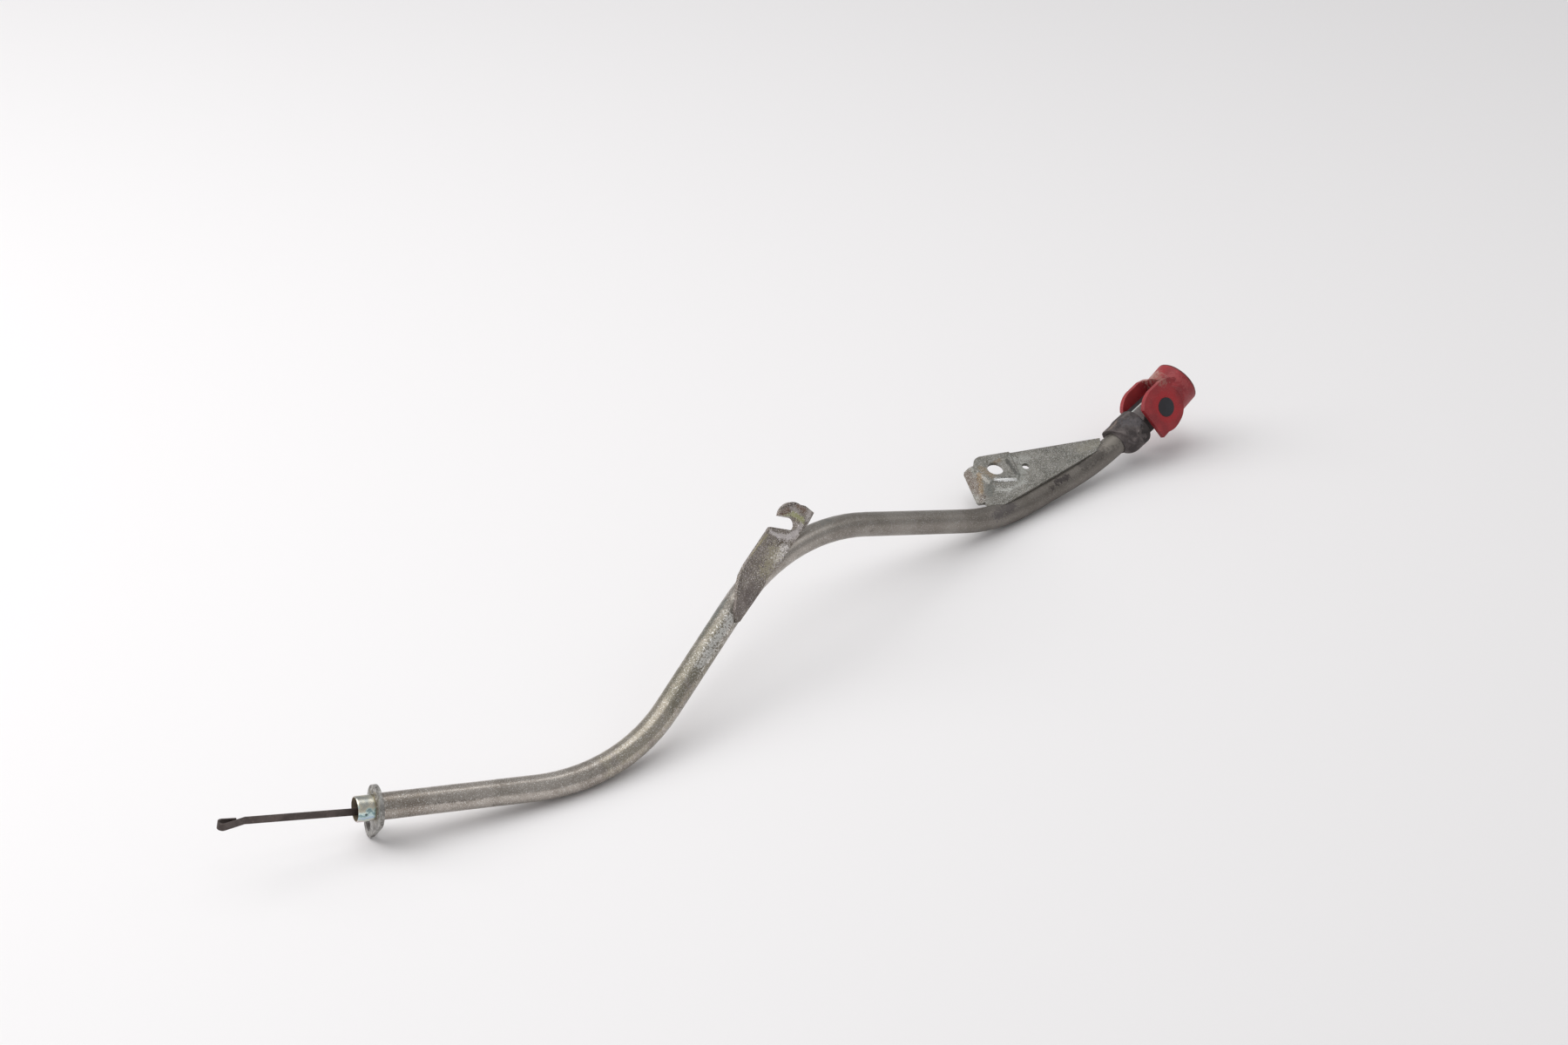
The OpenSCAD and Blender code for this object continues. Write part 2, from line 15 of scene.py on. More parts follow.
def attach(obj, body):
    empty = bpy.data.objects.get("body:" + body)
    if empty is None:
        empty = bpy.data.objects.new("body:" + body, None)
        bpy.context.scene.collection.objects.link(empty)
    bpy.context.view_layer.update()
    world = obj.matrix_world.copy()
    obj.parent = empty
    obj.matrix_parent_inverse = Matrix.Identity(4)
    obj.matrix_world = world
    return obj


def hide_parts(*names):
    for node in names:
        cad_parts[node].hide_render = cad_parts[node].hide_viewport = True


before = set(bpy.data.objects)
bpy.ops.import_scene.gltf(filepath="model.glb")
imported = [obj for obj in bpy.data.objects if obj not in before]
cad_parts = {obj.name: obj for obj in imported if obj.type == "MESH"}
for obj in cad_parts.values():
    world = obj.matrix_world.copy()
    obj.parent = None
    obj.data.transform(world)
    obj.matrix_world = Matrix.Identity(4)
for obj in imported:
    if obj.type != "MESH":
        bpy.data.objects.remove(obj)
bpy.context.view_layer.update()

LOG = logging.getLogger("dipstick")
MM = 0.001

Colour = tuple[float, float, float]
Point = tuple[float, float, float]
Band = tuple[float, float]
Socket = bpy.types.NodeSocket


def paint(red: int, green: int, blue: int) -> Colour:
    """Turns a colour as it shows on a screen into a linear one.

    Args:
        red: Red from 0 to 255.
        green: Green from 0 to 255.
        blue: Blue from 0 to 255.

    Returns:
        The linear colour.
    """

    def linear(value: int) -> float:
        """Takes one channel from the screen's scale to the linear one."""
        share = value / 255
        return share / 12.92 if share <= 0.04045 else ((share + 0.055) / 1.055) ** 2.4

    return (linear(red), linear(green), linear(blue))


class Sum(Enum):
    """The sums of two numbers that a finish uses."""

    ADD = "ADD"
    TIMES = "MULTIPLY"


class Span(Enum):
    """The sums of two points that a mask uses, each with the output that holds its result."""

    LESS = ("SUBTRACT", "Vector")
    ALONG = ("DOT_PRODUCT", "Value")
    APART = ("DISTANCE", "Value")


class Mix(Enum):
    """What is mixed: the kind, its first and second input, and its output."""

    NUMBERS = ("FLOAT", 2, 3, 0)
    COLOURS = ("RGBA", 6, 7, 2)


@dataclass(frozen=True)
class StainOrPaintedLight:
    """A stain, a painted highlight or a painted shadow: a patch that differs from the finish round it, with
    lengths in millimetres.

    Attributes:
        start: Its middle, or the first end of its line.
        radius: How far it reaches from there.
        colour: Its colour.
        end: The other end of its line, if it is long.
        amount: How fully it covers.
        ragged: How far its edge wanders, as a share of the radius.
        grain: The size of that wandering, as a share of the radius.
        fleck: How much it breaks up into flecks.
        roughness: Its roughness, if it has one of its own.
        metallic: Its share of metal, if it has one of its own.
    """

    start: Point
    radius: float
    colour: Colour
    end: Point | None = None
    amount: float = 0.8
    ragged: float = 0.6
    grain: float = 0.35
    fleck: float = 0.7
    roughness: float | None = None
    metallic: float | None = None


class Surface:
    """The nodes of one material, with all lengths in millimetres."""

    least_grain: float = 0.8
    wander_band: Band = (0.25, 0.75)
    mark_reach: Band = (0.3, 1.3)
    mark_band: Band = (0.3, 0.75)
    fleck_size: float = 0.55
    fleck_shift: float = 200.0
    fleck_band: Band = (0.3, 0.7)
    pattern_start: float = 3.0
    pattern_step: float = 11.0
    bevel_samples: int = 4
    edge_turn: Band = (0.995, 0.85)

    def __init__(self, name: str) -> None:
        """Starts an empty material with one shader.

        Args:
            name: The name of the material.
        """
        self.material = bpy.data.materials.new(name)
        self.material.use_nodes = True
        self.tree = self.material.node_tree
        self.tree.nodes.clear()
        self.shader = self.tree.nodes.new("ShaderNodeBsdfPrincipled")
        output = self.tree.nodes.new("ShaderNodeOutputMaterial")
        self.join(self.shader.outputs[0], output.inputs["Surface"])
        seat = self.tree.nodes.new("ShaderNodeTexCoord")
        grow = self.tree.nodes.new("ShaderNodeVectorMath")
        grow.operation = "SCALE"
        grow.inputs["Scale"].default_value = 1 / MM
        self.join(seat.outputs["Object"], grow.inputs[0])
        self.place = grow.outputs[0]

    def join(self, source: Socket, target: Socket) -> None:
        """Links one socket to another."""
        self.tree.links.new(source, target)

    def feed(self, target: Socket, value: Socket | float | tuple[float, ...]) -> None:
        """Links a socket, or writes a plain value.

        Args:
            target: The input to set.
            value: A socket, a number, a point or a colour of three channels.
        """
        if isinstance(value, bpy.types.NodeSocket):
            self.join(value, target)
        elif isinstance(value, tuple) and target.type == "RGBA":
            target.default_value = (*value, 1.0)
        else:
            target.default_value = value

    def sum(self, operation: Sum, first: Socket | float, second: Socket | float) -> Socket:
        """Works out one sum of numbers.

        Args:
            operation: The sum.
            first: The first term.
            second: The second term.

        Returns:
            The result.
        """
        node = self.tree.nodes.new("ShaderNodeMath")
        node.operation = operation.value
        self.feed(node.inputs[0], first)
        self.feed(node.inputs[1], second)
        return node.outputs[0]

    def span(self, operation: Span, first: Socket | Point, second: Socket | Point) -> Socket:
        """Works out one sum of points.

        Args:
            operation: The sum.
            first: The first point.
            second: The second point.

        Returns:
            The result, a point or a number.
        """
        name, result = operation.value
        node = self.tree.nodes.new("ShaderNodeVectorMath")
        node.operation = name
        self.feed(node.inputs[0], first)
        self.feed(node.inputs[1], second)
        return node.outputs[result]

    def mix(self, kind: Mix, amount: Socket | float, first: Socket | float | Colour,
            second: Socket | float | Colour) -> Socket:
        """Mixes two numbers or two colours.

        Args:
            kind: What is mixed.
            amount: The share of the second.
            first: The first of them.
            second: The second of them.

        Returns:
            The mixture.
        """
        data_type, before, after, result = kind.value
        node = self.tree.nodes.new("ShaderNodeMix")
        node.data_type = data_type
        self.feed(node.inputs[0], amount)
        self.feed(node.inputs[before], first)
        self.feed(node.inputs[after], second)
        return node.outputs[result]

    def blend(self, amount: Socket | float, first: Socket | Colour, second: Socket | Colour) -> Socket:
        """Mixes two colours by an amount."""
        return self.mix(Mix.COLOURS, amount, first, second)

    def level(self, value: Socket, low: float, high: float, start: float = 0.0, end: float = 1.0) -> Socket:
        """Maps a value smoothly from one range to another, held at both ends.

        Args:
            value: The value to map.
            low: The value that gives start.
            high: The value that gives end.
            start: The result at low.
            end: The result at high.

        Returns:
            The mapped value.
        """
        node = self.tree.nodes.new("ShaderNodeMapRange")
        node.interpolation_type = "SMOOTHSTEP"
        for name, number in (("From Min", low), ("From Max", high), ("To Min", start), ("To Max", end)):
            node.inputs[name].default_value = number
        self.join(value, node.inputs["Value"])
        return node.outputs[0]

    def cloud(self, size: float, detail: float = 4.0, roughness: float = 0.6, twist: float = 0.0,
              shift: float = 0.0) -> Socket:
        """A cloudy pattern.

        Args:
            size: About the size of one cloud in millimetres.
            detail: How many finer layers it has.
            roughness: How strong the finer layers are.
            twist: How much it is stirred.
            shift: A distance by which it is moved, for a pattern of its own.

        Returns:
            Its height, about 0.5 on average.
        """
        mapping = self.tree.nodes.new("ShaderNodeMapping")
        mapping.inputs["Location"].default_value = (shift, shift, shift)
        self.join(self.place, mapping.inputs["Vector"])
        node = self.tree.nodes.new("ShaderNodeTexNoise")
        node.inputs["Scale"].default_value = 1 / size
        node.inputs["Detail"].default_value = detail
        node.inputs["Roughness"].default_value = roughness
        node.inputs["Distortion"].default_value = twist
        self.join(mapping.outputs[0], node.inputs["Vector"])
        return node.outputs[0]

    def gap_to(self, start: Point, end: Point | None) -> Socket:
        """The distance to a point, or to the line from one point to another.

        Args:
            start: The first point in millimetres.
            end: The second point, if it is a line.

        Returns:
            The distance in millimetres.
        """
        if end is None:
            return self.span(Span.APART, self.place, start)
        run = Vector(end) - Vector(start)
        offset = self.span(Span.LESS, self.place, start)
        along = self.span(Span.ALONG, offset, tuple(run / run.length_squared))
        share = self.tree.nodes.new("ShaderNodeClamp")
        self.join(along, share.inputs["Value"])
        reach = self.tree.nodes.new("ShaderNodeVectorMath")
        reach.operation = "SCALE"
        reach.inputs[0].default_value = tuple(run)
        self.join(share.outputs[0], reach.inputs["Scale"])
        return self.span(Span.APART, offset, reach.outputs[0])

    def past(self, point: Point, direction: Vector, soft: float) -> Socket:
        """1 where the surface lies past a plane, and 0 before it.

        Args:
            point: A point on the plane.
            direction: The way that counts as past.
            soft: The width over which it changes.

        Returns:
            The mask.
        """
        offset = self.span(Span.LESS, self.place, point)
        depth = self.span(Span.ALONG, offset, tuple(direction.normalized()))
        return self.level(depth, -soft / 2, soft / 2)

    def patch(self, stain: StainOrPaintedLight, shift: float) -> Socket:
        """The mask of one stain or painted light patch, with its edge broken up.

        Args:
            mark: The stain or painted light patch.
            shift: A distance that gives its edge a pattern of its own.

        Returns:
            1 inside and 0 outside.
        """
        core, rim = self.mark_reach
        gap = self.gap_to(stain.start, stain.end)
        wander = self.cloud(max(stain.radius * stain.grain, self.least_grain), 5.0, 0.65, shift=shift)
        reach = stain.radius * stain.ragged
        moved = self.sum(Sum.ADD, gap, self.level(wander, *self.wander_band, -reach, reach))
        spread = self.level(moved, stain.radius * core, stain.radius * rim, 1.0, 0.0)
        specks = self.cloud(self.fleck_size, 3.0, 0.7, shift=shift + self.fleck_shift)
        flecks = self.level(specks, *self.fleck_band, -stain.fleck / 2, stain.fleck / 2)
        return self.level(self.sum(Sum.ADD, spread, flecks), *self.mark_band, 0.0, stain.amount)

    def coat(self, mask: Socket, colour: Socket | Colour, roughness: float | None = None,
             metallic: float | None = None) -> None:
        """Lays something over the finish, where a mask says.

        Args:
            mask: 1 where it lies.
            colour: Its colour.
            roughness: Its roughness, if it has one.
            metallic: Its share of metal, if it has one.
        """
        for name, kind, value in (("Base Color", Mix.COLOURS, colour), ("Roughness", Mix.NUMBERS, roughness),
                                  ("Metallic", Mix.NUMBERS, metallic)):
            if value is None:
                continue
            target = self.shader.inputs[name]
            under = target.links[0].from_socket if target.links else target.default_value
            self.feed(target, self.mix(kind, mask, under, value))

    def stain(self, stains_and_painted_light: tuple[StainOrPaintedLight, ...]) -> None:
        """Lays every stain and painted light patch over the finish, each with an edge of its own.

        Args:
            stains_and_painted_light: The stains and painted light patches, the lowest first.
        """
        for number, spot in enumerate(stains_and_painted_light):
            mask = self.patch(spot, self.pattern_step * number + self.pattern_start)
            self.coat(mask, spot.colour, spot.roughness, spot.metallic)

    def edges(self, width: float) -> tuple[Socket, Socket]:
        """Rounds the shading of sharp edges and finds them.

        Args:
            width: The radius of the rounding in millimetres.

        Returns:
            The rounded normal, and a mask that is 1 on the edges.
        """
        bevel = self.tree.nodes.new("ShaderNodeBevel")
        bevel.samples = self.bevel_samples
        bevel.inputs["Radius"].default_value = width * MM
        flat = self.tree.nodes.new("ShaderNodeNewGeometry")
        same = self.span(Span.ALONG, bevel.outputs[0], flat.outputs["Normal"])
        return bevel.outputs[0], self.level(same, *self.edge_turn)

    def bump(self, height: Socket, depth: float, normal: Socket) -> Socket:
        """Turns a height into a normal.

        Args:
            height: The height, from 0 to 1.
            depth: The depth that 1 stands for, in millimetres.
            normal: The normal that it starts from.

        Returns:
            The bumped normal.
        """
        node = self.tree.nodes.new("ShaderNodeBump")
        node.inputs["Distance"].default_value = depth * MM
        self.join(height, node.inputs["Height"])
        self.join(normal, node.inputs["Normal"])
        return node.outputs[0]

    def finish(self, colour: Socket, roughness: Socket) -> None:
        """Gives the shader its colour and roughness, before any stain or painted light.

        Args:
            colour: The colour.
            roughness: The roughness.
        """
        self.join(colour, self.shader.inputs["Base Color"])
        self.join(roughness, self.shader.inputs["Roughness"])

    def dress(self, node_name: str) -> None:
        """Puts this material on a CAD node in place of its plain one.

        Args:
            node_name: The name of the CAD node.
        """
        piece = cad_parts[node_name]
        for place in piece.material_slots:
            place.material = self.material
        if not piece.material_slots:
            piece.data.materials.append(self.material)
        LOG.info("dressed %s in %s", node_name, self.material.name)


@dataclass(frozen=True)
class PlatedSteel:
    """Old zinc plate over steel: cloudy, specked, stained and worn."""

    name: str
    dark: Colour
    mid: Colour
    pale: Colour
    cloud_size: float = 14.0
    grain_size: float = 0.9
    metallic: float = 0.75
    polish: float = 0.34
    dull: float = 0.58
    pit_depth: float = 0.03
    edge_width: float = 0.25
    edge_colour: Colour = (0.42, 0.41, 0.38)
    stains_and_painted_light: tuple[StainOrPaintedLight, ...] = ()
    cloud_twist: float = 0.4
    speck_scale: float = 3.2
    cloud_band: Band = (0.36, 0.66)
    speck_band: Band = (0.55, 0.78)
    speck_share: float = 0.7
    grime_band: Band = (0.52, 0.34)
    grime_share: float = 0.35
    gloss_band: Band = (0.5, 1.0)
    gloss_grain: float = 0.5
    worn_band: Band = (0.35, 0.6)
    worn_share: Band = (0.15, 0.75)
    grain_relief: float = 0.6
    speck_relief: float = 0.8

    def build(self) -> Surface:
        """Makes the material.

        Returns:
            The finished surface.
        """
        skin = Surface(self.name)
        broad = skin.cloud(self.cloud_size, 5.0, 0.6, self.cloud_twist)
        fine = skin.cloud(self.grain_size, 4.0, 0.7, shift=31.0)
        speck = skin.cloud(self.grain_size * self.speck_scale, 3.0, 0.55, shift=77.0)
        colour = skin.blend(skin.level(broad, *self.cloud_band), self.dark, self.mid)
        colour = skin.blend(skin.level(speck, *self.speck_band, 0.0, self.speck_share), colour, self.pale)
        colour = skin.blend(skin.level(fine, *self.grime_band, 0.0, self.grime_share), colour, self.dark)
        gloss = skin.sum(Sum.ADD, broad, skin.sum(Sum.TIMES, fine, self.gloss_grain))
        rough = skin.level(gloss, *self.gloss_band, self.dull, self.polish)
        normal, edge = skin.edges(self.edge_width)
        worn = skin.sum(Sum.TIMES, edge, skin.level(speck, *self.worn_band, *self.worn_share))
        skin.finish(skin.blend(worn, colour, self.edge_colour), rough)
        skin.shader.inputs["Metallic"].default_value = self.metallic
        skin.stain(self.stains_and_painted_light)
        relief = skin.sum(Sum.ADD, skin.sum(Sum.TIMES, fine, self.grain_relief),
                          skin.sum(Sum.TIMES, speck, self.speck_relief))
        skin.join(skin.bump(relief, self.pit_depth, normal), skin.shader.inputs["Normal"])
        return skin


@dataclass(frozen=True)
class Moulding:
    """Moulded plastic, matt, with scuffed edges and a faint grain."""

    name: str
    colour: Colour
    deep: Colour
    scuff: Colour
    grain_size: float = 0.7
    roughness: float = 0.5
    depth: float = 0.012
    edge_width: float = 0.3
    stains_and_painted_light: tuple[StainOrPaintedLight, ...] = ()
    cloud_size: float = 9.0
    rub_size: float = 2.4
    cloud_band: Band = (0.35, 0.65)
    rub_band: Band = (0.6, 0.78)
    rub_share: float = 0.3
    gloss_band: Band = (0.3, 0.7)
    gloss_gain: float = 0.06
    gloss_loss: float = 0.1
    worn_band: Band = (0.3, 0.6)
    worn_share: Band = (0.2, 0.7)

    def build(self) -> Surface:
        """Makes the material.

        Returns:
            The finished surface.
        """
        skin = Surface(self.name)
        broad = skin.cloud(self.cloud_size, 4.0, 0.6)
        fine = skin.cloud(self.grain_size, 4.0, 0.65, shift=19.0)
        rubbed = skin.cloud(self.rub_size, 5.0, 0.7, shift=51.0)
        colour = skin.blend(skin.level(broad, *self.cloud_band), self.deep, self.colour)
        colour = skin.blend(skin.level(rubbed, *self.rub_band, 0.0, self.rub_share), colour, self.scuff)
        normal, edge = skin.edges(self.edge_width)
        worn = skin.sum(Sum.TIMES, edge, skin.level(rubbed, *self.worn_band, *self.worn_share))
        rough = skin.level(rubbed, *self.gloss_band, self.roughness - self.gloss_gain,
                           self.roughness + self.gloss_loss)
        skin.finish(skin.blend(worn, colour, self.scuff), rough)
        skin.stain(self.stains_and_painted_light)
        relief = skin.sum(Sum.ADD, fine, rubbed)
        skin.join(skin.bump(relief, self.depth, normal), skin.shader.inputs["Normal"])
        return skin


@dataclass(frozen=True)
class OldRubber:
    """Old rubber with a coat of dust, scuffs and fine creases."""

    name: str
    colour: Colour = paint(64, 58, 58)
    dust: Colour = paint(118, 110, 108)
    chalk: Colour = paint(96, 101, 110)
    stains_and_painted_light: tuple[StainOrPaintedLight, ...] = ()
    cloud_size: float = 6.0
    cloud_twist: float = 0.6
    grain_size: float = 0.6
    grain_depth: float = 0.04
    crease_size: float = 3.2
    crease_twist: float = 1.2
    crease_depth: float = 0.25
    dust_band: Band = (0.38, 0.7)
    dust_share: float = 0.75
    chalk_band: Band = (0.56, 0.75)
    chalk_share: float = 0.3
    gloss_band: Band = (0.3, 0.7)
    roughness: Band = (0.68, 0.9)
    shine: float = 0.3
    edge_width: float = 0.3
    edge_share: float = 0.4

    def build(self) -> Surface:
        """Makes the material.

        Returns:
            The finished surface.
        """
        skin = Surface(self.name)
        broad = skin.cloud(self.cloud_size, 5.0, 0.65, self.cloud_twist)
        fine = skin.cloud(self.grain_size, 4.0, 0.7, shift=9.0)
        crease = skin.cloud(self.crease_size, 3.0, 0.5, self.crease_twist, 43.0)
        colour = skin.blend(skin.level(broad, *self.dust_band, 0.0, self.dust_share), self.colour, self.dust)
        colour = skin.blend(skin.level(fine, *self.chalk_band, 0.0, self.chalk_share), colour, self.chalk)
        rough = skin.level(broad, *self.gloss_band, *self.roughness)
        normal, edge = skin.edges(self.edge_width)
        skin.finish(skin.blend(skin.sum(Sum.TIMES, edge, self.edge_share), colour, self.dust), rough)
        skin.shader.inputs["Specular IOR Level"].default_value = self.shine
        skin.stain(self.stains_and_painted_light)
        normal = skin.bump(crease, self.crease_depth, normal)
        skin.join(skin.bump(fine, self.grain_depth, normal), skin.shader.inputs["Normal"])
        return skin


@dataclass
class GuideTube:
    """The bent guide tube, with its bright spigot and the mounting flange brazed on behind it.

    Attributes:
        tip: The middle of the tube's open end.
        run: The direction of the first straight run, away from that end.
        spigot_top: The way that counts as up across the spigot.
        spigot_length: The length of the bright spigot, of which spigot_hidden lies in the flange.
        rainbow_height: How far up and down the rainbow's colours reach, waved by rainbow_wave.
        root_length: How much of the spigot is rusty where it meets the flange.
        soot_start: Where the tube begins to darken, over the length soot_soft.
        tar_start: Where it darkens once more, over the length tar_soft.
        bore_depth: How far into the bore the darker lining is painted.
        bore_band: The distances from the middle where that lining ends and where it is full.
    """

    tip: Point = (-251.5, 6.2, 21.0)
    run: Point = (0.9344, -0.3248, -0.1464)
    spigot_top: Point = (0.146, 0.05, 0.988)
    spigot_length: float = 9.0
    spigot_hidden: float = 0.4
    spigot_edge: float = 0.5
    rainbow_height: float = 7.0
    rainbow_cloud: float = 4.0
    rainbow_band: Band = (0.3, 0.7)
    rainbow_wave: float = 1.8
    rainbow_dimple: Point = (-250.0, -0.6, 21.0)
    root_length: float = 1.0
    root_soft: float = 1.6
    root_share: float = 0.75
    soot_start: Point = (20.0, 0.0, 0.0)
    soot_soft: float = 90.0
    soot_share: float = 0.5
    tar_start: Point = (150.0, 0.0, 0.0)
    tar_soft: float = 60.0
    tar_share: float = 0.55
    bore_depth: float = 60.0
    bore_band: Band = (5.75, 5.6)
    bore_colour: Colour = paint(158, 146, 126)

    def along(self, distance: float) -> Point:
        """The point on the first run's middle line at a distance in millimetres from its tip."""
        return tuple(Vector(self.tip) + Vector(self.run) * distance)

    def plated_tube(self) -> None:
        """Dresses the tube, with its spigot in bright rainbow plate under a painted highlight."""
        finish = PlatedSteel(
            "worn_tube_zinc", dark=paint(142, 133, 124), mid=paint(180, 172, 164), pale=paint(216, 208, 200),
            cloud_size=19.0, grain_size=0.5, metallic=0.76, polish=0.2, dull=0.36, pit_depth=0.02,
            stains_and_painted_light=(
                StainOrPaintedLight((-238.0, 0.0, 18.0), 7.0, paint(136, 124, 112), (-226.0, -6.0, 18.0), 0.4, 0.8, 0.5),
                StainOrPaintedLight((-125.0, -32.0, 13.0), 11.0, paint(162, 154, 134),
                      (-52.0, -12.0, 37.0), 0.5, 0.9, 0.6, 0.8),
                StainOrPaintedLight((-84.0, -24.0, 28.0), 10.0, paint(112, 108, 94),
                      (-36.0, -8.0, 44.0), 0.6, 1.0, 0.5, 0.5, 0.42),
                StainOrPaintedLight((-224.0, -9.0, 18.5), 0.5, paint(92, 84, 78),
                      (-196.0, -20.0, 14.0), 0.45, 1.0, 6.0, 1.0),
                StainOrPaintedLight((-66.0, -22.0, 30.0), 2.8, paint(236, 234, 230),
                      (-38.0, -12.0, 40.0), 0.8, 1.2, 0.4, 1.6, 0.3),
                StainOrPaintedLight((-60.0, -8.0, 37.0), 3.4, paint(120, 126, 124),
                      (-36.0, -2.0, 44.0), 0.5, 0.8, 0.5, 0.6, 0.4),
                StainOrPaintedLight((24.0, 8.0, 60.0), 3.4, paint(134, 140, 140),
                      (46.0, 9.0, 54.0), 0.5, 0.8, 0.5, 0.6, 0.36),
                StainOrPaintedLight((-36.0, -8.0, 43.0), 2.6, paint(84, 80, 76), (-32.0, -7.0, 45.0), 0.6, 0.8, 0.5, 0.9),
                StainOrPaintedLight((70.0, 2.0, 38.5), 1.6, paint(84, 76, 68), None, 0.7, 0.9, 0.6),
                StainOrPaintedLight((84.0, 1.0, 33.0), 3.2, paint(178, 170, 164),
                      (120.0, -1.0, 22.0), 0.3, 0.9, 0.5, 0.8),
                StainOrPaintedLight((120.0, 0.0, 18.0), 2.6, paint(182, 176, 168),
                      (150.0, -2.0, 7.0), 0.35, 0.9, 0.5, 1.0),
            ))
        skin = finish.build()
        self.sooted(skin)
        self.rainbow(skin)
        self.dark_bore(skin)
        skin.dress("guide_tube")

    def sooted(self, skin: Surface) -> None:
        """Darkens the tube towards its capped end, with black grime on the last bend.

        Args:
            skin: The tube's surface.
        """
        toward = Vector((1.0, 0.0, 0.0))
        soot = skin.sum(Sum.TIMES, skin.past(self.soot_start, toward, self.soot_soft), self.soot_share)
        skin.coat(soot, paint(112, 108, 102), 0.5)
        tar = skin.sum(Sum.TIMES, skin.past(self.tar_start, toward, self.tar_soft), self.tar_share)
        skin.coat(tar, paint(94, 89, 84), 0.55)
        skin.stain((
            StainOrPaintedLight((159.0, -1.0, 12.0), 3.4, paint(78, 73, 78),
                  (171.0, 0.2, 12.4), 0.5, 0.8, 0.35, 0.8, 0.5),
            StainOrPaintedLight((205.0, 0.5, 13.4), 1.8, paint(62, 56, 58), (214.0, 0.0, 13.4), 0.75, 0.9, 0.7, 0.8),
            StainOrPaintedLight((201.0, -0.8, 12.1), 1.6, paint(70, 64, 64), None, 0.7, 0.9, 0.5),
            StainOrPaintedLight((248.0, 3.0, 20.0), 5.0, paint(150, 144, 136), (254.0, 3.0, 21.0), 0.6, 0.7, 0.4, 0.6),
            StainOrPaintedLight((226.0, 1.0, 15.0), 3.0, paint(70, 66, 64), (240.0, 1.0, 17.0), 0.5, 0.9, 0.5, 0.6),
        ))

    def rainbow(self, skin: Surface) -> None:
        """Puts the bright rainbow plate over the spigot alone, its colours going round by height, with a
        painted highlight near the top.

        Args:
            skin: The tube's surface.
        """
        run = Vector(self.run)
        flange = self.along(self.spigot_length - self.spigot_hidden)
        ahead = skin.past(flange, -run, self.spigot_edge)
        height = skin.span(Span.ALONG, skin.span(Span.LESS, skin.place, self.tip), self.spigot_top)
        cloud = skin.cloud(self.rainbow_cloud, 3.0, 0.5, shift=5.0)
        drift = skin.level(cloud, *self.rainbow_band, -self.rainbow_wave, self.rainbow_wave)
        ramp = skin.tree.nodes.new("ShaderNodeValToRGB")
        # The plate's own rainbow colours from bottom to top; the near-white stops at 0.7 and 0.86 are a
        # painted highlight.
        stops = (
            (0.0, paint(214, 190, 196)), (0.16, paint(196, 212, 196)), (0.3, paint(168, 186, 214)),
            (0.42, paint(196, 216, 210)), (0.56, paint(120, 146, 152)), (0.7, paint(206, 226, 222)),
            (0.86, paint(224, 216, 196)), (1.0, paint(176, 178, 172)))
        while len(ramp.color_ramp.elements) < len(stops):
            ramp.color_ramp.elements.new(0.5)
        for element, (position, tone) in zip(ramp.color_ramp.elements, stops):
            element.position = position
            element.color = (*tone, 1.0)
        wave = skin.sum(Sum.ADD, height, drift)
        skin.join(skin.level(wave, -self.rainbow_height, self.rainbow_height), ramp.inputs[0])
        navy = paint(30, 40, 48)
        dimple = skin.patch(StainOrPaintedLight(self.rainbow_dimple, 0.8, navy, None, 0.85, 0.3, 1.0, 0.3), 1.0)
        marked = skin.blend(dimple, ramp.outputs[0], navy)
        root = self.along(self.spigot_length - self.root_length)
        rust = skin.sum(Sum.TIMES, skin.past(root, run, self.root_soft), self.root_share)
        skin.coat(ahead, skin.blend(rust, marked, paint(150, 138, 92)), 0.26, 0.9)

    def dark_bore(self, skin: Surface) -> None:
        """Darkens the inside of the bore at the open spigot.

        Args:
            skin: The tube's surface.
        """
        gap = skin.gap_to(self.tip, self.along(self.bore_depth))
        skin.coat(skin.level(gap, *self.bore_band), self.bore_colour, 0.7, 0.3)

    def pitted_flange(self) -> None:
        """Dresses the flange in coarse, pitted plate, with painted shade in and round its bolt hole."""
        finish = PlatedSteel(
            "pitted_flange_zinc", dark=paint(116, 113, 109), mid=paint(176, 174, 170),
            pale=paint(236, 233, 228),
            cloud_size=3.0, grain_size=0.5, metallic=0.6, polish=0.36, dull=0.6, pit_depth=0.09,
            edge_colour=paint(120, 117, 112),
            stains_and_painted_light=(
                StainOrPaintedLight((-243.5, 3.5, 19.7), 7.6, paint(160, 146, 104), None, 0.5, 0.5, 0.3, 0.9),
                # Painted shade: darkens the bolt hole and its rim, which look dark from the shade behind
                # them.
                StainOrPaintedLight((-242.0, 12.1, 4.5), 4.6, paint(96, 92, 90), None, 0.45, 0.7, 0.4, 0.9),
            ))
        finish.build().dress("mounting_flange")

    def build(self) -> None:
        """Dresses the tube and its flange."""
        self.plated_tube()
        self.pitted_flange()


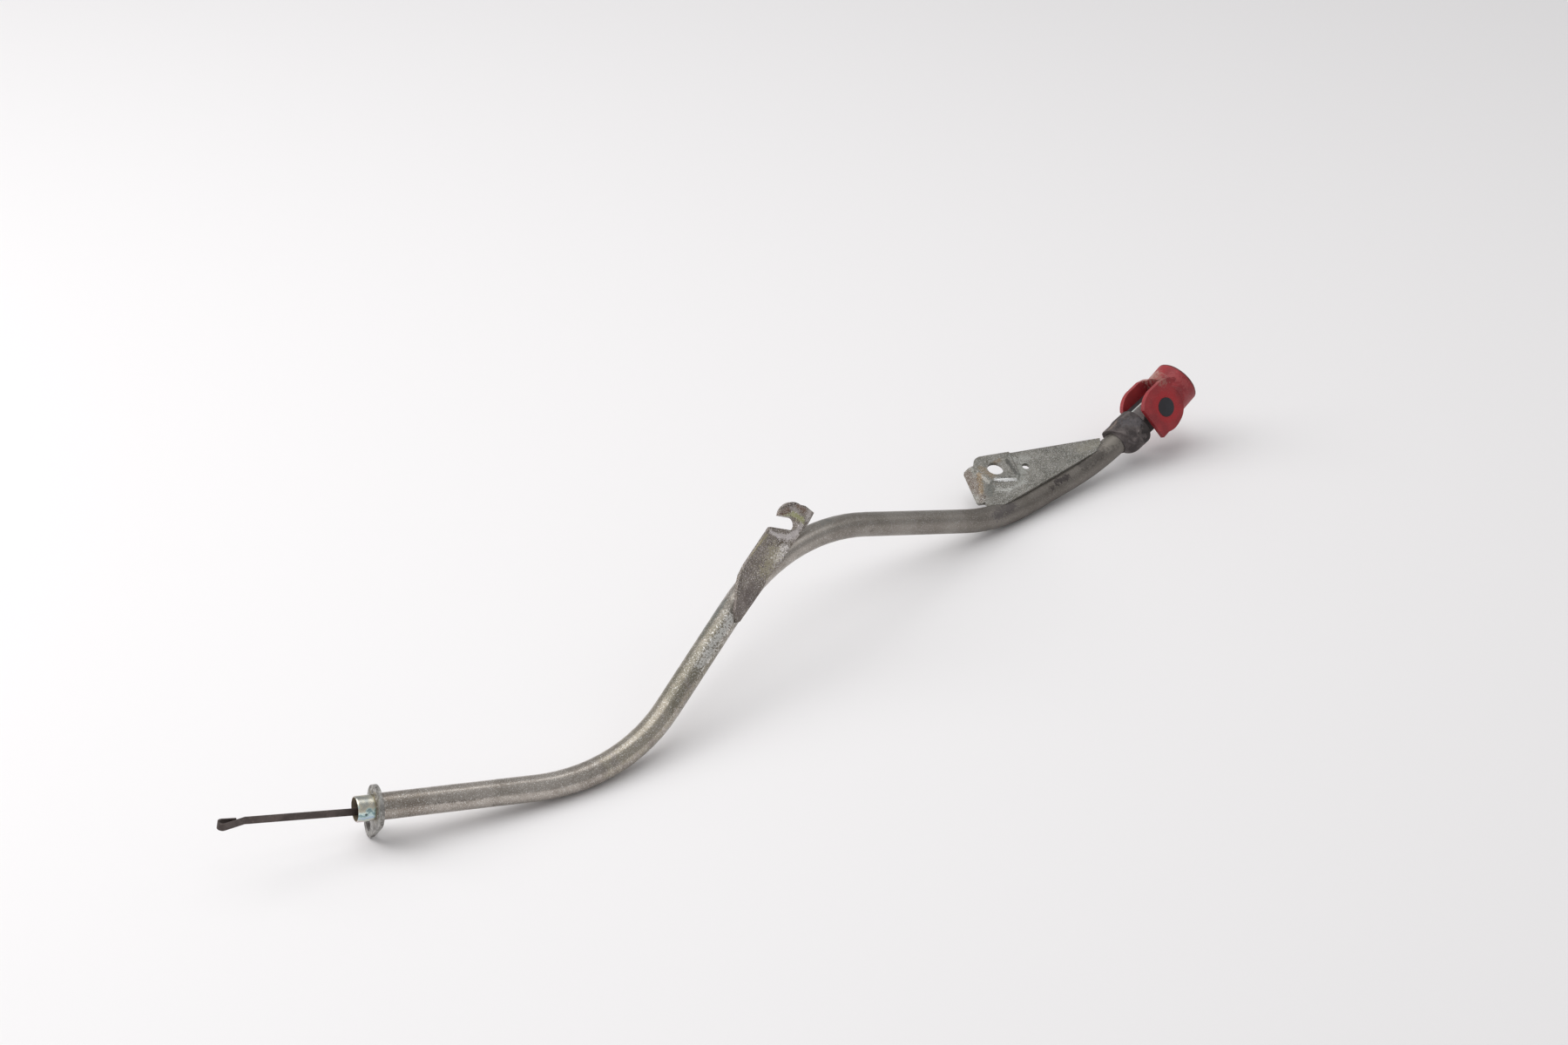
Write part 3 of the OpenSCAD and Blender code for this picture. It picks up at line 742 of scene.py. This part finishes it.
@dataclass
class Brackets:
    """The hook bracket on the arch and the support bracket beside the cap.

    Attributes:
        hook_edge: How far from its edges the hook is worn dark, in millimetres.
        support_edge: How far from its edges the support is worn bright, in millimetres.
    """

    hook_edge: float = 0.3
    support_edge: float = 0.35

    def hook(self) -> None:
        """Dresses the hook bracket: brown grime, rust at the top, green plate left in the slot, and a
        painted highlight along the slot's curled lip.
        """
        rust = paint(112, 84, 68)
        green = paint(178, 180, 122)
        pale_highlight = paint(212, 204, 204)
        crust = paint(58, 46, 38)
        finish = PlatedSteel(
            "grimy_hook_zinc", dark=paint(108, 99, 93), mid=paint(142, 132, 125), pale=paint(172, 162, 150),
            cloud_size=10.0, grain_size=0.45, metallic=0.6, polish=0.4, dull=0.6, pit_depth=0.04,
            edge_width=self.hook_edge, edge_colour=paint(64, 54, 46),
            stains_and_painted_light=(
                StainOrPaintedLight((25.0, 6.0, 61.8), 2.0, green, (20.7, 7.6, 66.4), 0.75, 0.5, 0.5, 0.7, 0.34),
                StainOrPaintedLight((20.7, 7.6, 66.4), 1.2, green, (14.0, 8.6, 68.2), 0.55, 0.5, 0.5, 0.8, 0.34),
                # Painted highlight: the pale band round the bottom of the slot, along its curled lip.
                StainOrPaintedLight((2.5, 5.0, 65.0), 1.3, pale_highlight, (6.9, 3.4, 61.4), 0.8, 0.4, 0.6, 0.5, 0.32),
                StainOrPaintedLight((6.9, 3.4, 61.4), 1.9, pale_highlight, (13.0, 2.7, 58.6), 0.85, 0.4, 0.6, 0.5, 0.32),
                StainOrPaintedLight((13.0, 2.7, 58.6), 1.9, pale_highlight, (18.6, 3.4, 58.7), 0.85, 0.4, 0.6, 0.5, 0.32),
                StainOrPaintedLight((18.6, 3.4, 58.7), 1.5, pale_highlight, (23.3, 4.9, 60.4), 0.7, 0.5, 0.6, 0.6, 0.32),
                StainOrPaintedLight((13.0, 9.0, 69.6), 1.5, rust, (18.0, 9.0, 69.6), 0.9, 0.9, 0.6, 0.7, 0.6),
                StainOrPaintedLight((25.0, 8.8, 68.0), 1.8, rust, (28.0, 8.2, 65.8), 0.9, 0.9, 0.6, 0.7, 0.6),
                StainOrPaintedLight((12.0, 10.2, 71.6), 0.9, crust, (26.0, 10.0, 70.4), 0.8, 0.5, 1.0, 0.6, 0.6),
                StainOrPaintedLight((26.0, 10.0, 70.4), 0.9, crust, (32.4, 8.6, 64.6), 0.8, 0.5, 1.0, 0.6, 0.6),
                # Painted highlight in the same pale colour, further right on the hook.
                StainOrPaintedLight((30.9, 7.3, 63.1), 1.6, pale_highlight, (28.4, 6.4, 61.6), 0.6, 0.9, 0.5, 1.0, 0.4),
                StainOrPaintedLight((8.6, 0.9, 55.6), 3.2, paint(244, 238, 236),
                      (1.0, -1.5, 52.8), 0.95, 1.1, 0.35, 1.6, 0.4, 0.3),
                StainOrPaintedLight((1.0, -0.6, 56.0), 4.6, paint(186, 178, 150),
                      (-8.0, -3.6, 51.0), 0.6, 1.1, 0.3, 1.6, 0.45),
                StainOrPaintedLight((6.0, 2.0, 58.6), 1.6, paint(84, 70, 48), (12.0, 1.6, 56.0), 0.6, 1.0, 0.5, 1.1),
                StainOrPaintedLight((15.0, 2.4, 56.6), 1.5, paint(216, 208, 206),
                      (19.0, 3.0, 56.6), 0.6, 1.0, 0.5, 1.4, 0.4, 0.3),
                StainOrPaintedLight((20.0, 9.4, 69.8), 1.2, paint(186, 178, 176), (24.0, 8.0, 66.6), 0.6, 0.9, 0.6, 1.0),
                StainOrPaintedLight((-0.5, 4.2, 65.0), 0.6, paint(176, 166, 130),
                      (-18.0, -0.6, 60.0), 0.6, 0.9, 3.0, 0.9),
                StainOrPaintedLight((-34.0, -11.5, 43.0), 7.0, paint(112, 102, 100), (-22.0, -8.0, 46.0), 0.5, 0.6, 0.5),
            ))
        finish.build().dress("hook_bracket")

    def support(self) -> None:
        """Dresses the support bracket: greenish plate, rust round the return edge and bolt hole, and a
        painted highlight on the pad's near wall.
        """
        ochre = paint(134, 106, 66)
        brown = paint(96, 78, 66)
        flake = paint(214, 214, 210)
        wall_highlight = paint(252, 252, 252)
        finish = PlatedSteel(
            "worn_support_zinc", dark=paint(104, 102, 96), mid=paint(141, 138, 132),
            pale=paint(172, 169, 162),
            cloud_size=8.0, grain_size=0.42, metallic=0.65, polish=0.36, dull=0.56, pit_depth=0.028,
            edge_width=self.support_edge, edge_colour=paint(176, 174, 166),
            stains_and_painted_light=(
                StainOrPaintedLight((175.2, 27.6, 21.2), 2.4, ochre, (176.7, 21.5, 19.6), 0.6, 0.9, 0.5, 1.0, 0.6),
                StainOrPaintedLight((165.6, 24.0, 16.4), 4.6, brown, (169.0, 33.5, 17.4), 0.85, 0.6, 0.5, 0.6, 0.62, 0.3),
                StainOrPaintedLight((163.0, 14.0, 14.6), 2.6, brown, (165.6, 24.0, 15.6), 0.8, 0.6, 0.5, 0.6, 0.62, 0.3),
                StainOrPaintedLight((164.0, 16.1, 16.3), 1.5, ochre, (172.0, 26.0, 19.4), 0.9, 0.8, 0.5, 0.9, 0.6, 0.3),
                StainOrPaintedLight((160.6, 12.4, 14.4), 1.9, paint(70, 46, 36), None, 0.9, 0.7, 0.5, 0.9, 0.6, 0.3),
                StainOrPaintedLight((181.0, 26.6, 21.6), 1.2, ochre, (188.5, 27.4, 21.8), 0.5, 0.9, 0.5, 1.0, 0.6),
                # Painted highlight: a near-white strip along the pad's near wall, standing in for the lamp's
                # reflection there.
                StainOrPaintedLight((176.6, 18.0, 18.6), 1.3, wall_highlight,
                      (181.0, 15.0, 18.0), 0.95, 0.4, 0.5, 0.5, 0.3, 0.1),
                StainOrPaintedLight((181.0, 15.0, 18.0), 1.1, wall_highlight,
                      (186.0, 12.6, 17.3), 0.95, 0.4, 0.5, 0.5, 0.3, 0.1),
                StainOrPaintedLight((173.6, 12.6, 16.1), 1.5, flake, (177.6, 9.6, 15.6), 0.65, 1.5, 0.4, 1.9, 0.5, 0.3),
                StainOrPaintedLight((178.6, 9.4, 15.6), 1.4, flake, (190.0, 8.4, 16.2), 0.45, 1.3, 0.35, 1.5, 0.5, 0.3),
                StainOrPaintedLight((187.5, 12.0, 17.0), 3.0, paint(176, 178, 172),
                      (198.0, 18.0, 19.0), 0.55, 1.0, 0.4, 1.0),
                StainOrPaintedLight((196.0, 24.0, 21.0), 2.6, flake, (203.0, 21.0, 20.0), 0.3, 1.0, 0.4, 1.2),
                StainOrPaintedLight((234.0, 9.0, 19.2), 3.4, paint(166, 160, 142),
                      (244.0, 7.0, 19.3), 0.4, 1.2, 0.3, 1.7),
                StainOrPaintedLight((166.0, 13.0, 15.7), 2.6, paint(94, 98, 94), (172.0, 17.0, 17.0), 0.45, 0.8, 0.5),
                StainOrPaintedLight((191.5, 24.6, 21.2), 1.6, paint(78, 78, 74), (189.0, 14.5, 18.2), 0.7, 0.5, 0.5, 0.6),
                StainOrPaintedLight((176.0, 18.5, 18.9), 0.6, paint(80, 80, 76), (187.0, 13.4, 18.2), 0.5, 0.5, 2.0, 0.6),
            ))
        finish.build().dress("support_bracket")

    def build(self) -> None:
        """Dresses both brackets."""
        self.hook()
        self.support()


@dataclass
class DipstickStrip:
    """The spring steel strip, the rod that draws it and the washer on the rod.

    Attributes:
        strip_edge: How far from its edges the strip is worn bright, in millimetres.
    """

    strip_edge: float = 0.12

    def build(self) -> None:
        """Dresses the strip, the rod and the washer."""
        oiled = PlatedSteel(
            "oiled_strip_steel", dark=paint(72, 63, 60), mid=paint(90, 80, 76), pale=paint(118, 108, 102),
            cloud_size=10.0, grain_size=0.5, metallic=0.45, polish=0.4, dull=0.6, pit_depth=0.01,
            edge_width=self.strip_edge, edge_colour=paint(132, 122, 116))
        oiled.build().dress("dipstick_blade")
        bright = PlatedSteel(
            "inner_zinc", dark=paint(150, 150, 150), mid=paint(184, 184, 184), pale=paint(206, 206, 206),
            cloud_size=6.0, metallic=0.9, polish=0.28, dull=0.4, pit_depth=0.01)
        inner = bright.build()
        for name in ("draw_rod", "stopper_washer"):
            inner.dress(name)


@dataclass(frozen=True)
class Dent:
    """A dent or a fold in the rubber, along a line from one point to another, in millimetres."""

    start: Point
    end: Point
    radius: float
    height: float

    def depth_at(self, place: Vector) -> float:
        """How far it pushes the surface out at a place.

        Args:
            place: The place in millimetres.

        Returns:
            The push, less than nothing for a dent.
        """
        run = Vector(self.end) - Vector(self.start)
        offset = place - Vector(self.start)
        share = min(max(offset.dot(run) / run.length_squared, 0.0), 1.0)
        gap = (offset - run * share).length / self.radius
        return self.height * (1 - gap * gap) ** 2 if gap < 1 else 0.0


@dataclass
class CapAndLever:
    """The rubber cap, its stopper, and the red fork lever on its pin.

    Attributes:
        pin_centre: The middle of the pivot pin.
        pin_line: The pin's direction, towards the near cheek.
        barrel_end: The middle of the barrel's open end.
        barrel_line: The barrel's direction, outwards.
        cheek_reach: How far the near cheek's face lies from the middle of the pin.
        clean_ring: The radius of the clean, deeper red round the pin, and highlight_ring that of the paler
            painted highlight in it.
        rim_width: How much of the barrel's end is painted dark as shade, and rim_soft the width over which
            that fades.
        cap_weave: The size of the faces that the cap's skin is made of.
        cap_rounding: How many times the skin is evened out before the dents, and dent_rounding after them.
        dents: The dents and folds in the cap.
    """

    pin_centre: Point = (288.0, 6.0, 25.3)
    pin_line: Point = (-0.1064, -0.8751, 0.4721)
    barrel_end: Point = (309.3, -4.8, 31.9)
    barrel_line: Point = (0.922, 0.091, 0.376)
    cheek_reach: float = 11.2
    clean_ring: float = 11.0
    highlight_ring: float = 5.6
    rim_width: float = 0.45
    rim_soft: float = 0.5
    rim_share: float = 0.8
    cap_weave: float = 0.4
    cap_rounding: int = 4
    dent_rounding: int = 2
    dents: tuple[Dent, ...] = (
        Dent((268.4, -2.0, 27.0), (262.5, 3.5, 28.0), 4.5, -0.7),
        Dent((266.5, -5.5, 19.5), (268.5, -5.0, 24.0), 3.6, -1.0),
        Dent((255.5, -1.5, 22.0), (257.0, 3.0, 26.0), 3.2, -0.5),
        Dent((258.4, -3.4, 18.6), (261.5, -5.0, 19.8), 1.5, 0.45),
        Dent((261.5, -5.0, 19.8), (264.6, -4.4, 23.0), 1.5, 0.5),
        Dent((264.6, -4.4, 23.0), (265.5, -2.6, 25.6), 1.5, 0.35),
    )

    def rubber(self) -> None:
        """Dresses the cap, with the lever's shadow painted on it, and the plug."""
        cap = OldRubber(
            "dusty_cap_rubber",
            stains_and_painted_light=(
                StainOrPaintedLight((260.2, 8.8, 26.0), 1.0, paint(140, 124, 112),
                      (254.0, 8.0, 24.0), 0.5, 0.5, 0.5, 0.9),
                StainOrPaintedLight((263.5, -4.4, 22.0), 0.7, paint(138, 130, 128),
                      (265.0, -3.6, 24.0), 0.6, 0.5, 0.6, 0.8),
                StainOrPaintedLight((260.7, -5.2, 18.0), 0.8, paint(104, 98, 98),
                      (258.4, -3.0, 19.6), 0.5, 0.6, 0.6, 0.8),
                StainOrPaintedLight((268.4, -1.5, 27.3), 3.4, paint(88, 86, 90), (262.0, 4.0, 27.5), 0.5, 0.9, 0.5, 0.9),
                # Painted shadow: the lever's shadow, dark on the cap's end next to the lever.
                StainOrPaintedLight((273.0, -4.0, 17.0), 6.0, paint(40, 36, 36), (273.0, -3.0, 25.0), 0.7, 0.4, 0.5, 0.4),
            )).build()
        self.crumpled(cap)
        cap.dress("rubber_cap")
        OldRubber("plug_rubber", colour=paint(38, 36, 36)).build().dress("stopper_plug")

    def soften(self, shape: bmesh.types.BMesh, passes: int) -> None:
        """Evens out a mesh.

        Args:
            shape: The mesh.
            passes: How many times it is gone over.
        """
        for _ in range(passes):
            bmesh.ops.smooth_vert(shape, verts=shape.verts, factor=0.5, use_axis_x=True, use_axis_y=True,
                                  use_axis_z=True)

    def crumpled(self, skin: Surface) -> None:
        """Makes the cap as it is after years of pulling: dented, creased and soft at its edges.

        Args:
            skin: The rubber that it is made of.
        """
        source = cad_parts["rubber_cap"]
        sheet = source.data.copy()
        cap = bpy.data.objects.new("crumpled_cap", sheet)
        bpy.context.scene.collection.objects.link(cap)
        knit = cap.modifiers.new("knit", "REMESH")
        knit.mode = "VOXEL"
        knit.voxel_size = self.cap_weave * MM
        bpy.context.view_layer.update()
        woven = bpy.data.meshes.new_from_object(cap.evaluated_get(bpy.context.evaluated_depsgraph_get()))
        cap.modifiers.clear()
        cap.data = woven
        shape = bmesh.new()
        shape.from_mesh(woven)
        self.soften(shape, self.cap_rounding)
        shape.normal_update()
        for corner in shape.verts:
            place = corner.co / MM
            push = sum(dent.depth_at(place) for dent in self.dents)
            corner.co += corner.normal * push * MM
        self.soften(shape, self.dent_rounding)
        for face in shape.faces:
            face.smooth = True
        shape.to_mesh(woven)
        shape.free()
        woven.materials.clear()
        woven.materials.append(skin.material)
        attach(cap, "tube")
        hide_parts("rubber_cap")
        LOG.info("crumpled the rubber cap: %d faces", len(woven.polygons))

    def lever(self) -> None:
        """Dresses the red lever, redder and cleaner round the pin with a painted highlight next to it, paler
        on the barrel, with painted shade round the barrel's end.
        """
        centre = tuple(Vector(self.pin_centre) + Vector(self.pin_line) * self.cheek_reach)
        red = Moulding(
            "red_lever_plastic", colour=paint(156, 42, 47), deep=paint(132, 31, 38),
            scuff=paint(172, 108, 104),
            grain_size=0.8, roughness=0.48,
            stains_and_painted_light=(
                StainOrPaintedLight(centre, self.clean_ring, paint(164, 29, 36), None, 0.75, 0.12, 0.5, 0.3, 0.42),
                # Painted highlight: a paler red ring next to the pin, on the raised boss there.
                StainOrPaintedLight(centre, self.highlight_ring, paint(186, 66, 70), None, 0.5, 0.1, 0.5, 0.3),
                StainOrPaintedLight((296.8, 22.0, 31.5), 4.0, paint(178, 140, 132),
                      (294.8, 14.0, 39.6), 0.85, 0.7, 0.4, 0.9),
                StainOrPaintedLight((294.8, 13.0, 40.0), 3.6, paint(150, 108, 98),
                      (290.0, 4.0, 42.0), 0.6, 0.8, 0.4, 1.0),
                StainOrPaintedLight((284.6, 18.2, 29.8), 6.0, paint(150, 50, 50),
                      (279.0, 18.2, 30.0), 0.5, 0.6, 0.5, 0.6),
                StainOrPaintedLight((302.0, -3.0, 39.0), 3.0, paint(174, 84, 84),
                      (298.0, 3.4, 43.0), 0.35, 0.9, 0.5, 0.8),
            ))
        skin = red.build()
        barrel = Vector(self.barrel_line)
        rim = tuple(Vector(self.barrel_end) - barrel * self.rim_width)
        # Painted shade: the barrel's end is darkened round its edge.
        rim_shade = skin.sum(Sum.TIMES, skin.past(rim, barrel, self.rim_soft), self.rim_share)
        skin.coat(rim_shade, paint(84, 44, 42), 0.6)
        skin.dress("fork_lever")

    def pin_and_strap(self) -> None:
        """Dresses the pin, the pull strap and the black spacer behind it."""
        black = Moulding(
            "black_pin", colour=paint(44, 44, 50), deep=paint(34, 33, 38), scuff=paint(84, 82, 84),
            grain_size=0.5, roughness=0.42, depth=0.01, edge_width=0.2)
        black.build().dress("pivot_pin")
        spacer = Moulding(
            "black_spacer", colour=paint(32, 31, 33), deep=paint(24, 23, 25), scuff=paint(70, 68, 70),
            grain_size=0.6, roughness=0.5)
        spacer.build().dress("strap_spacer")
        strap = PlatedSteel(
            "strap_zinc", dark=paint(186, 190, 188), mid=paint(214, 218, 214), pale=paint(236, 238, 234),
            cloud_size=5.0, metallic=0.35, polish=0.34, dull=0.5, pit_depth=0.015,
            stains_and_painted_light=(
                StainOrPaintedLight((280.0, -1.0, 17.0), 6.5, paint(46, 42, 42),
                      (279.0, 1.0, 21.0), 0.95, 0.2, 0.5, 0.4, 0.7, 0.0),
            ))
        strap.build().dress("pull_strap")

    def build(self) -> None:
        """Dresses every piece of the cap and its lever."""
        self.rubber()
        self.lever()
        self.pin_and_strap()


@dataclass(frozen=True)
class Lamp:
    """A soft square lamp, placed in metres from the camera's own right and ahead."""

    name: str
    side: float
    away: float
    height: float
    size: float
    power: float
    tone: Colour = (1.0, 1.0, 1.0)


@dataclass
class Studio:
    """The pale floor, the lamps and the camera."""

    camera_place: Point = (-896.53, -996.66, 923.66)
    heading: float = 47.802
    pitch: float = 32.367
    roll: float = 0.371
    lens: float = 74.0
    film_width: float = 36.0
    nearest: float = 0.01
    farthest: float = 50.0
    floor_size: float = 16.0
    floor_drop: float = 0.0001
    floor_tone: Colour = (0.9, 0.882, 0.884)
    floor_roughness: float = 0.9
    floor_shine: float = 0.1
    fill_tone: Colour = (0.98, 0.99, 1.0)
    fill_strength: float = 0.44
    lamps: tuple[Lamp, ...] = (
        Lamp("overhead", -0.35, 0.05, 1.5, 1.7, 11.8),
        Lamp("left_box", -1.5, 0.1, 1.1, 1.2, 13.2),
        Lamp("right_box", 1.3, 0.5, 1.1, 0.7, 1.2, (1.0, 0.99, 0.98)),
    )

    def ground_axes(self) -> tuple[Vector, Vector]:
        """The camera's right and ahead, laid flat on the floor.

        Returns:
            Two unit vectors.
        """
        turn = math.radians(self.heading)
        return Vector((math.sin(turn), -math.cos(turn), 0.0)), Vector((math.cos(turn), math.sin(turn), 0.0))

    def view_axes(self) -> tuple[Vector, Vector, Vector]:
        """The camera's right, up and forward directions.

        Returns:
            Three unit vectors.
        """
        dip, bank = math.radians(self.pitch), math.radians(self.roll)
        level, flat = self.ground_axes()
        ahead = flat * math.cos(dip) - Vector((0.0, 0.0, math.sin(dip)))
        right = level * math.cos(bank) + level.cross(ahead) * math.sin(bank)
        return right, right.cross(ahead), ahead

    def camera(self) -> None:
        """Makes the camera at the photograph's viewing angle."""
        right, up, ahead = self.view_axes()
        lens = bpy.data.cameras.new("photo_camera")
        lens.lens = self.lens
        lens.sensor_width = self.film_width
        lens.clip_start = self.nearest
        lens.clip_end = self.farthest
        camera = bpy.data.objects.new("photo_camera", lens)
        turn = Matrix((right, up, -ahead)).transposed().to_4x4()
        camera.matrix_world = Matrix.Translation(Vector(self.camera_place) * MM) @ turn
        bpy.context.scene.collection.objects.link(camera)
        bpy.context.scene.camera = camera

    def floor(self) -> None:
        """Lays the pale floor."""
        half = self.floor_size / 2
        corners = [(-half, -half, 0), (half, -half, 0), (half, half, 0), (-half, half, 0)]
        sheet = bpy.data.meshes.new("studio_floor")
        sheet.from_pydata(corners, [], [(0, 1, 2, 3)])
        floor = bpy.data.objects.new("studio_floor", sheet)
        floor.location.z = -self.floor_drop
        bpy.context.scene.collection.objects.link(floor)
        material = bpy.data.materials.new("studio_paper")
        material.use_nodes = True
        shader = material.node_tree.nodes["Principled BSDF"]
        shader.inputs["Base Color"].default_value = (*self.floor_tone, 1.0)
        shader.inputs["Roughness"].default_value = self.floor_roughness
        shader.inputs["Specular IOR Level"].default_value = self.floor_shine
        sheet.materials.append(material)

    def world(self) -> None:
        """Fills the room with even light; the floor's own colour gives the pale background."""
        world = bpy.data.worlds.new("studio_room")
        bpy.context.scene.world = world
        world.use_nodes = True
        fill = world.node_tree.nodes["Background"]
        fill.inputs["Color"].default_value = (*self.fill_tone, 1.0)
        fill.inputs["Strength"].default_value = self.fill_strength

    def light(self) -> None:
        """Hangs the soft lamps, all turned to the middle of the floor."""
        right, ahead = self.ground_axes()
        for lamp in self.lamps:
            light = bpy.data.lights.new(lamp.name, "AREA")
            light.shape = "SQUARE"
            light.size = lamp.size
            light.energy = lamp.power
            light.color = lamp.tone
            holder = bpy.data.objects.new(lamp.name, light)
            holder.location = right * lamp.side + ahead * lamp.away + Vector((0.0, 0.0, lamp.height))
            holder.rotation_euler = (-holder.location).to_track_quat("-Z", "Y").to_euler()
            bpy.context.scene.collection.objects.link(holder)

    def build(self) -> None:
        """Sets up the whole studio."""
        bpy.context.scene.view_settings.view_transform = "Standard"
        self.camera()
        self.floor()
        self.world()
        self.light()


def main() -> None:
    """Builds every sub-assembly in order."""
    logging.basicConfig(level=logging.INFO)
    Studio().build()
    for part in (GuideTube(), Brackets(), DipstickStrip(), CapAndLever()):
        part.build()
        LOG.info("built %s", type(part).__name__)


if __name__ == "__main__":
    main()
